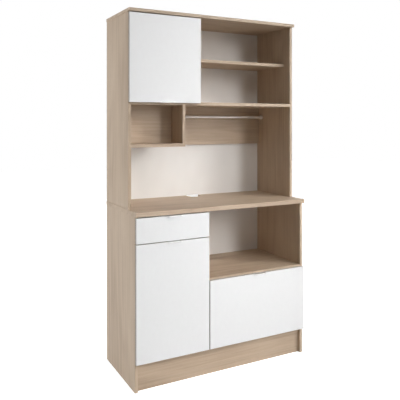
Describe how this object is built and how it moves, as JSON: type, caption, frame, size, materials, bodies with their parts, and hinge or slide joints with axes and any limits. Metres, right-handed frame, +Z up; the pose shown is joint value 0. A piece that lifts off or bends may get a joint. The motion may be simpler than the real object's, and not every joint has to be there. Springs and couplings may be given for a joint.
{
  "type": "kitchen buffet hutch",
  "caption": "Tall freestanding kitchen buffet: woodgrain carcass, white doors, drawer and flap, appliance niche, open worktop bay with cubby and utensil rail, and open upper shelves.",
  "frame": {"origin": "centre of the outline at floor level, pulls included", "axes": "+X to the right seen from the front, +Y towards the back, +Z up"},
  "size_m": [1.004, 0.462, 1.8565],
  "materials": {
    "oak_board": "woodgrain melamine",
    "white_board": "smooth white melamine",
    "white_hardboard": "white lacquered hardboard",
    "drawer_board": "light foil-wrapped board",
    "rail_metal": "satin",
    "pull_metal": "satin",
    "hinge_steel": "nickel plated",
    "screw_zinc": "zinc plated",
    "dowel_wood": "raw beech",
    "runner_steel": "white epoxy",
    "roller_nylon": "white nylon",
    "glide_plastic": "dark plastic"
  },
  "bodies": {
    "carcass": {"base_side_left": "oak_board", "base_side_right": "oak_board", "base_divider": "oak_board", "base_floor": "oak_board", "niche_floor": "oak_board", "plinth": "oak_board", "worktop": "oak_board", "cupboard_shelf": "oak_board", "hutch_side_left": "oak_board", "hutch_side_right": "oak_board", "top_panel": "oak_board", "middle_shelf": "oak_board", "hutch_divider": "oak_board", "open_shelf": "oak_board", "cabinet_shelf": "oak_board", "cubby_divider": "oak_board", "cubby_floor": "oak_board", "cubby_back": "oak_board", "back_rail": "oak_board", "base_back": "white_hardboard", "hutch_back": "white_hardboard", "utensil_rail": "rail_metal", "rail_sockets": "rail_metal", "floor_glides": "glide_plastic", "shelf_pins": "screw_zinc", "dowels": "dowel_wood", "cam_fittings": "screw_zinc", "back_nails": "screw_zinc", "hinge_arms": "hinge_steel", "hinge_plates": "hinge_steel", "carcass_screws": "screw_zinc", "stay_pins": "hinge_steel", "cabinet_runners": "runner_steel"},
    "upper_links": {"upper_hinge_links": "hinge_steel"},
    "upper_door": {"upper_hinge_cups": "hinge_steel", "upper_door": "white_board", "upper_door_pull": "pull_metal", "upper_door_screws": "screw_zinc"},
    "lower_links": {"lower_hinge_links": "hinge_steel"},
    "lower_door": {"lower_hinge_cups": "hinge_steel", "lower_door": "white_board", "lower_door_pull": "pull_metal", "lower_door_screws": "screw_zinc"},
    "flap_links": {"flap_hinge_links": "hinge_steel"},
    "flap": {"flap_hinge_cups": "hinge_steel", "flap": "white_board", "flap_pull": "pull_metal", "flap_screws": "screw_zinc", "stay_brackets": "hinge_steel"},
    "flap_stays": {"stay_arms": "hinge_steel"},
    "drawer": {"drawer_front": "white_board", "drawer_pull": "pull_metal", "drawer_sides": "drawer_board", "drawer_back": "drawer_board", "drawer_bottom": "white_hardboard", "drawer_dowels": "dowel_wood", "drawer_screws": "screw_zinc", "drawer_runners": "runner_steel"},
    "cabinet_rollers": {"cabinet_rollers": "roller_nylon"},
    "drawer_rollers": {"drawer_rollers": "roller_nylon"}
  },
  "joints": [
    {"name": "upper_link", "type": "hinge", "parent": "carcass", "child": "upper_links", "pos_m": [-0.4664, -0.10085, 1.61465], "axis": [0, 0, 1], "range_deg": [0, 15.25]},
    {"name": "upper_door_hinge", "type": "hinge", "parent": "upper_links", "child": "upper_door", "pos_m": [-0.4923, -0.1112, 1.61465], "axis": [0, 0, -1], "range_deg": [0, 115.24]},
    {"name": "lower_link", "type": "hinge", "parent": "carcass", "child": "lower_links", "pos_m": [-0.4664, -0.19285, 0.42562], "axis": [0, 0, 1], "range_deg": [0, 15.25]},
    {"name": "lower_door_hinge", "type": "hinge", "parent": "lower_links", "child": "lower_door", "pos_m": [-0.4923, -0.2032, 0.42562], "axis": [0, 0, -1], "range_deg": [0, 115.24]},
    {"name": "flap_link", "type": "hinge", "parent": "carcass", "child": "flap_links", "pos_m": [0.19975, -0.19285, 0.1731], "axis": [-1, 0, 0], "range_deg": [0, 13.72]},
    {"name": "flap_hinge", "type": "hinge", "parent": "flap_links", "child": "flap", "pos_m": [0.19975, -0.2032, 0.1472], "axis": [1, 0, 0], "range_deg": [0, 103.72]},
    {"name": "stay_pivot", "type": "hinge", "parent": "flap", "child": "flap_stays", "pos_m": [0.19975, -0.19, 0.3195], "axis": [-1, 0, 0], "range_deg": [0, 46.35]},
    {"name": "drawer_slide", "type": "slide", "parent": "carcass", "child": "drawer", "axis": [0, -1, 0], "range_m": [0, 0.25]},
    {"name": "cabinet_roller_spin", "type": "hinge", "parent": "carcass", "child": "cabinet_rollers", "pos_m": [-0.297, -0.184, 0.73875], "axis": [1, 0, 0], "range_deg": [0, 1508.5]},
    {"name": "drawer_roller_spin", "type": "hinge", "parent": "drawer", "child": "drawer_rollers", "pos_m": [-0.297, 0.141, 0.73275], "axis": [1, 0, 0], "range_deg": [0, 1508.5]}
  ],
  "couplings": [
    {"joint": "upper_link", "follows": "upper_door_hinge", "ratio": 0.13225},
    {"joint": "lower_link", "follows": "lower_door_hinge", "ratio": 0.13225},
    {"joint": "flap_link", "follows": "flap_hinge", "ratio": 0.13225},
    {"joint": "stay_pivot", "follows": "flap_hinge", "ratio": 0.44664},
    {"joint": "cabinet_roller_spin", "follows": "drawer_slide", "rad_per_m": 105.26},
    {"joint": "drawer_roller_spin", "follows": "drawer_slide", "rad_per_m": 105.26}
  ]
}
